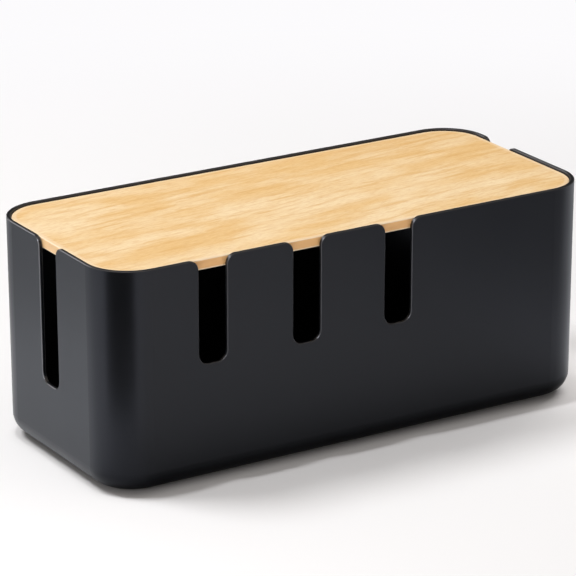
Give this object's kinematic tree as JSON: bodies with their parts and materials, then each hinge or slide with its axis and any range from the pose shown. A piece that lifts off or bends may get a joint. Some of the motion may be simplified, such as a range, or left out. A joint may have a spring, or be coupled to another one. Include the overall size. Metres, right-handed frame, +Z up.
{
  "type": "cable management box",
  "caption": "Long rounded open-top box with slotted walls that hides a power strip, closed by a flat wooden lid dropped inside the rim, standing on small rubber feet.",
  "frame": {"origin": "on the standing surface, under the middle of the box", "axes": "+X along the long side, +Y from the slotted front wall towards the plain rear wall, +Z up out of the open top"},
  "size_m": [0.32, 0.14, 0.132],
  "materials": {
    "tray_plastic": "fine satin moulded surface, black",
    "lid_wood": "pale bamboo, smooth, satin varnish, grain along the length",
    "foot_rubber": "matte black rubber"
  },
  "bodies": {
    "box": {"tray": "tray_plastic", "foot_front_left": "foot_rubber", "foot_front_right": "foot_rubber", "foot_rear_left": "foot_rubber", "foot_rear_right": "foot_rubber"},
    "lid_body": {"lid": "lid_wood"}
  },
  "joints": [
    {"name": "lid_lift", "type": "slide", "parent": "box", "child": "lid_body", "axis": [0, 0, 1], "range_m": [0, 0.08]}
  ]
}
